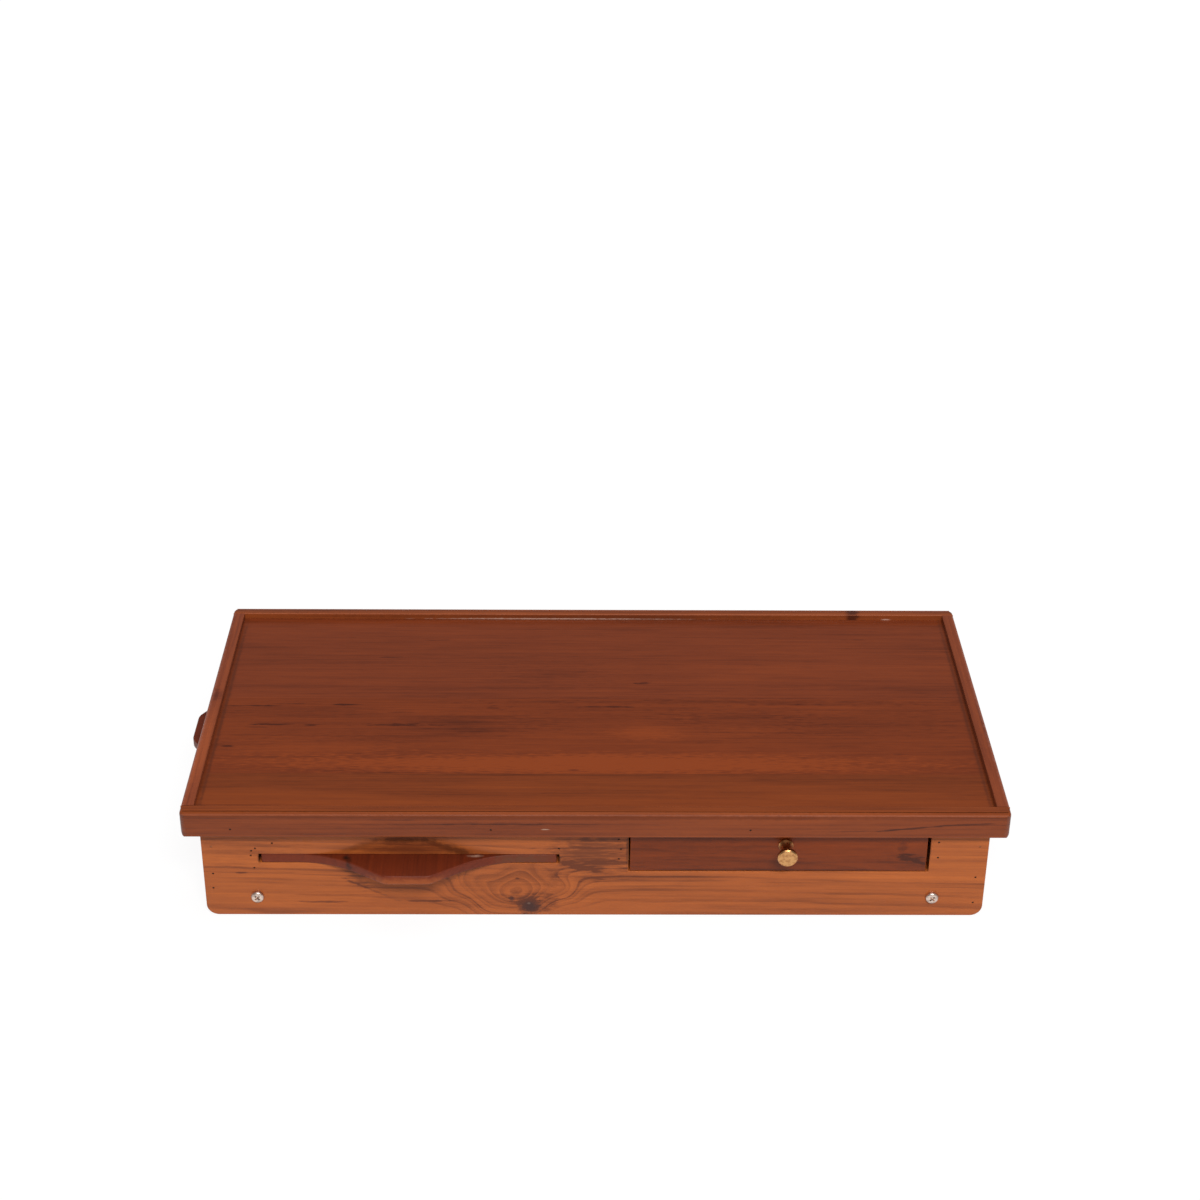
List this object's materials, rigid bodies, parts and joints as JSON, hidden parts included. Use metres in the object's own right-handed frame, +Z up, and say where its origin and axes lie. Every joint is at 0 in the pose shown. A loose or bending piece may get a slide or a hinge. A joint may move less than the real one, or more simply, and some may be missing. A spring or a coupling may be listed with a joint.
{
  "type": "laptop table",
  "caption": "Low wooden laptop table, folded: lipped top on a shallow case with a drawer, pull-out trays with shaped pull tabs, and folding leg frames on screw pivots.",
  "frame": {"origin": "under the middle of the closed and folded table's whole footprint, pull tabs included, on the plane that the case stands on", "axes": "+X to the right seen from the drawer's side, +Y towards the back, +Z up"},
  "size_m": [0.623, 0.3204, 0.1],
  "materials": {
    "top_boards": "varnished red-brown teak, satin to gloss",
    "edging": "varnished red-brown teak, satin",
    "aprons": "varnished golden teak, satin",
    "drawer_front": "varnished dark teak, satin",
    "trays": "varnished dark red teak, satin",
    "drawer_box": "plain teak and ply, matt",
    "inner_wood": "unfinished pale wood, matt",
    "legs": "varnished golden teak, satin",
    "knob": "polished and lacquered",
    "steel": "zinc plated",
    "brads": "plain wire, darkened"
  },
  "bodies": {
    "case": {"top_board_back": "top_boards", "top_board_middle": "top_boards", "top_board_front": "top_boards", "front_edging": "edging", "back_edging": "edging", "left_edging": "edging", "right_edging": "edging", "front_apron": "aprons", "back_apron": "aprons", "left_apron": "aprons", "right_apron": "aprons", "corner_blocks": "inner_wood", "front_tray_guide_left": "inner_wood", "front_tray_guide_right": "inner_wood", "side_tray_guide_front": "inner_wood", "side_tray_guide_back": "inner_wood", "divider": "inner_wood", "drawer_guide_right": "inner_wood", "drawer_runners": "inner_wood", "case_brads": "brads", "edging_brads": "brads", "pivot_screws": "steel", "pivot_washers": "steel", "pivot_nuts": "steel"},
    "drawer": {"drawer_front": "drawer_front", "drawer_side_left": "drawer_box", "drawer_side_right": "drawer_box", "drawer_back": "drawer_box", "drawer_bottom": "drawer_box", "drawer_brads": "brads", "drawer_knob": "knob", "knob_screw": "steel"},
    "front_tray": {"front_tray_board": "trays", "front_tray_stop": "trays"},
    "side_tray": {"side_tray_board": "trays", "side_tray_stop": "trays"},
    "left_leg_frame": {"left_leg_front": "legs", "left_leg_back": "legs", "left_stretcher": "legs", "left_leg_screws": "steel"},
    "right_leg_frame": {"right_leg_front": "legs", "right_leg_back": "legs", "right_stretcher": "legs", "right_leg_screws": "steel"}
  },
  "joints": [
    {"name": "drawer_slide", "type": "slide", "parent": "case", "child": "drawer", "axis": [0, -1, 0], "range_m": [0, 0.185]},
    {"name": "front_tray_slide", "type": "slide", "parent": "case", "child": "front_tray", "axis": [0, -1, 0], "range_m": [0, 0.16]},
    {"name": "side_tray_slide", "type": "slide", "parent": "case", "child": "side_tray", "axis": [-1, 0, 0], "range_m": [0, 0.16]},
    {"name": "left_leg_pivot", "type": "hinge", "parent": "case", "child": "left_leg_frame", "pos_m": [-0.2475, 0.00775, 0.0175], "axis": [0, 1, 0], "range_deg": [0, 90]},
    {"name": "right_leg_pivot", "type": "hinge", "parent": "case", "child": "right_leg_frame", "pos_m": [0.2605, 0.00775, 0.0175], "axis": [0, -1, 0], "range_deg": [0, 90]}
  ]
}
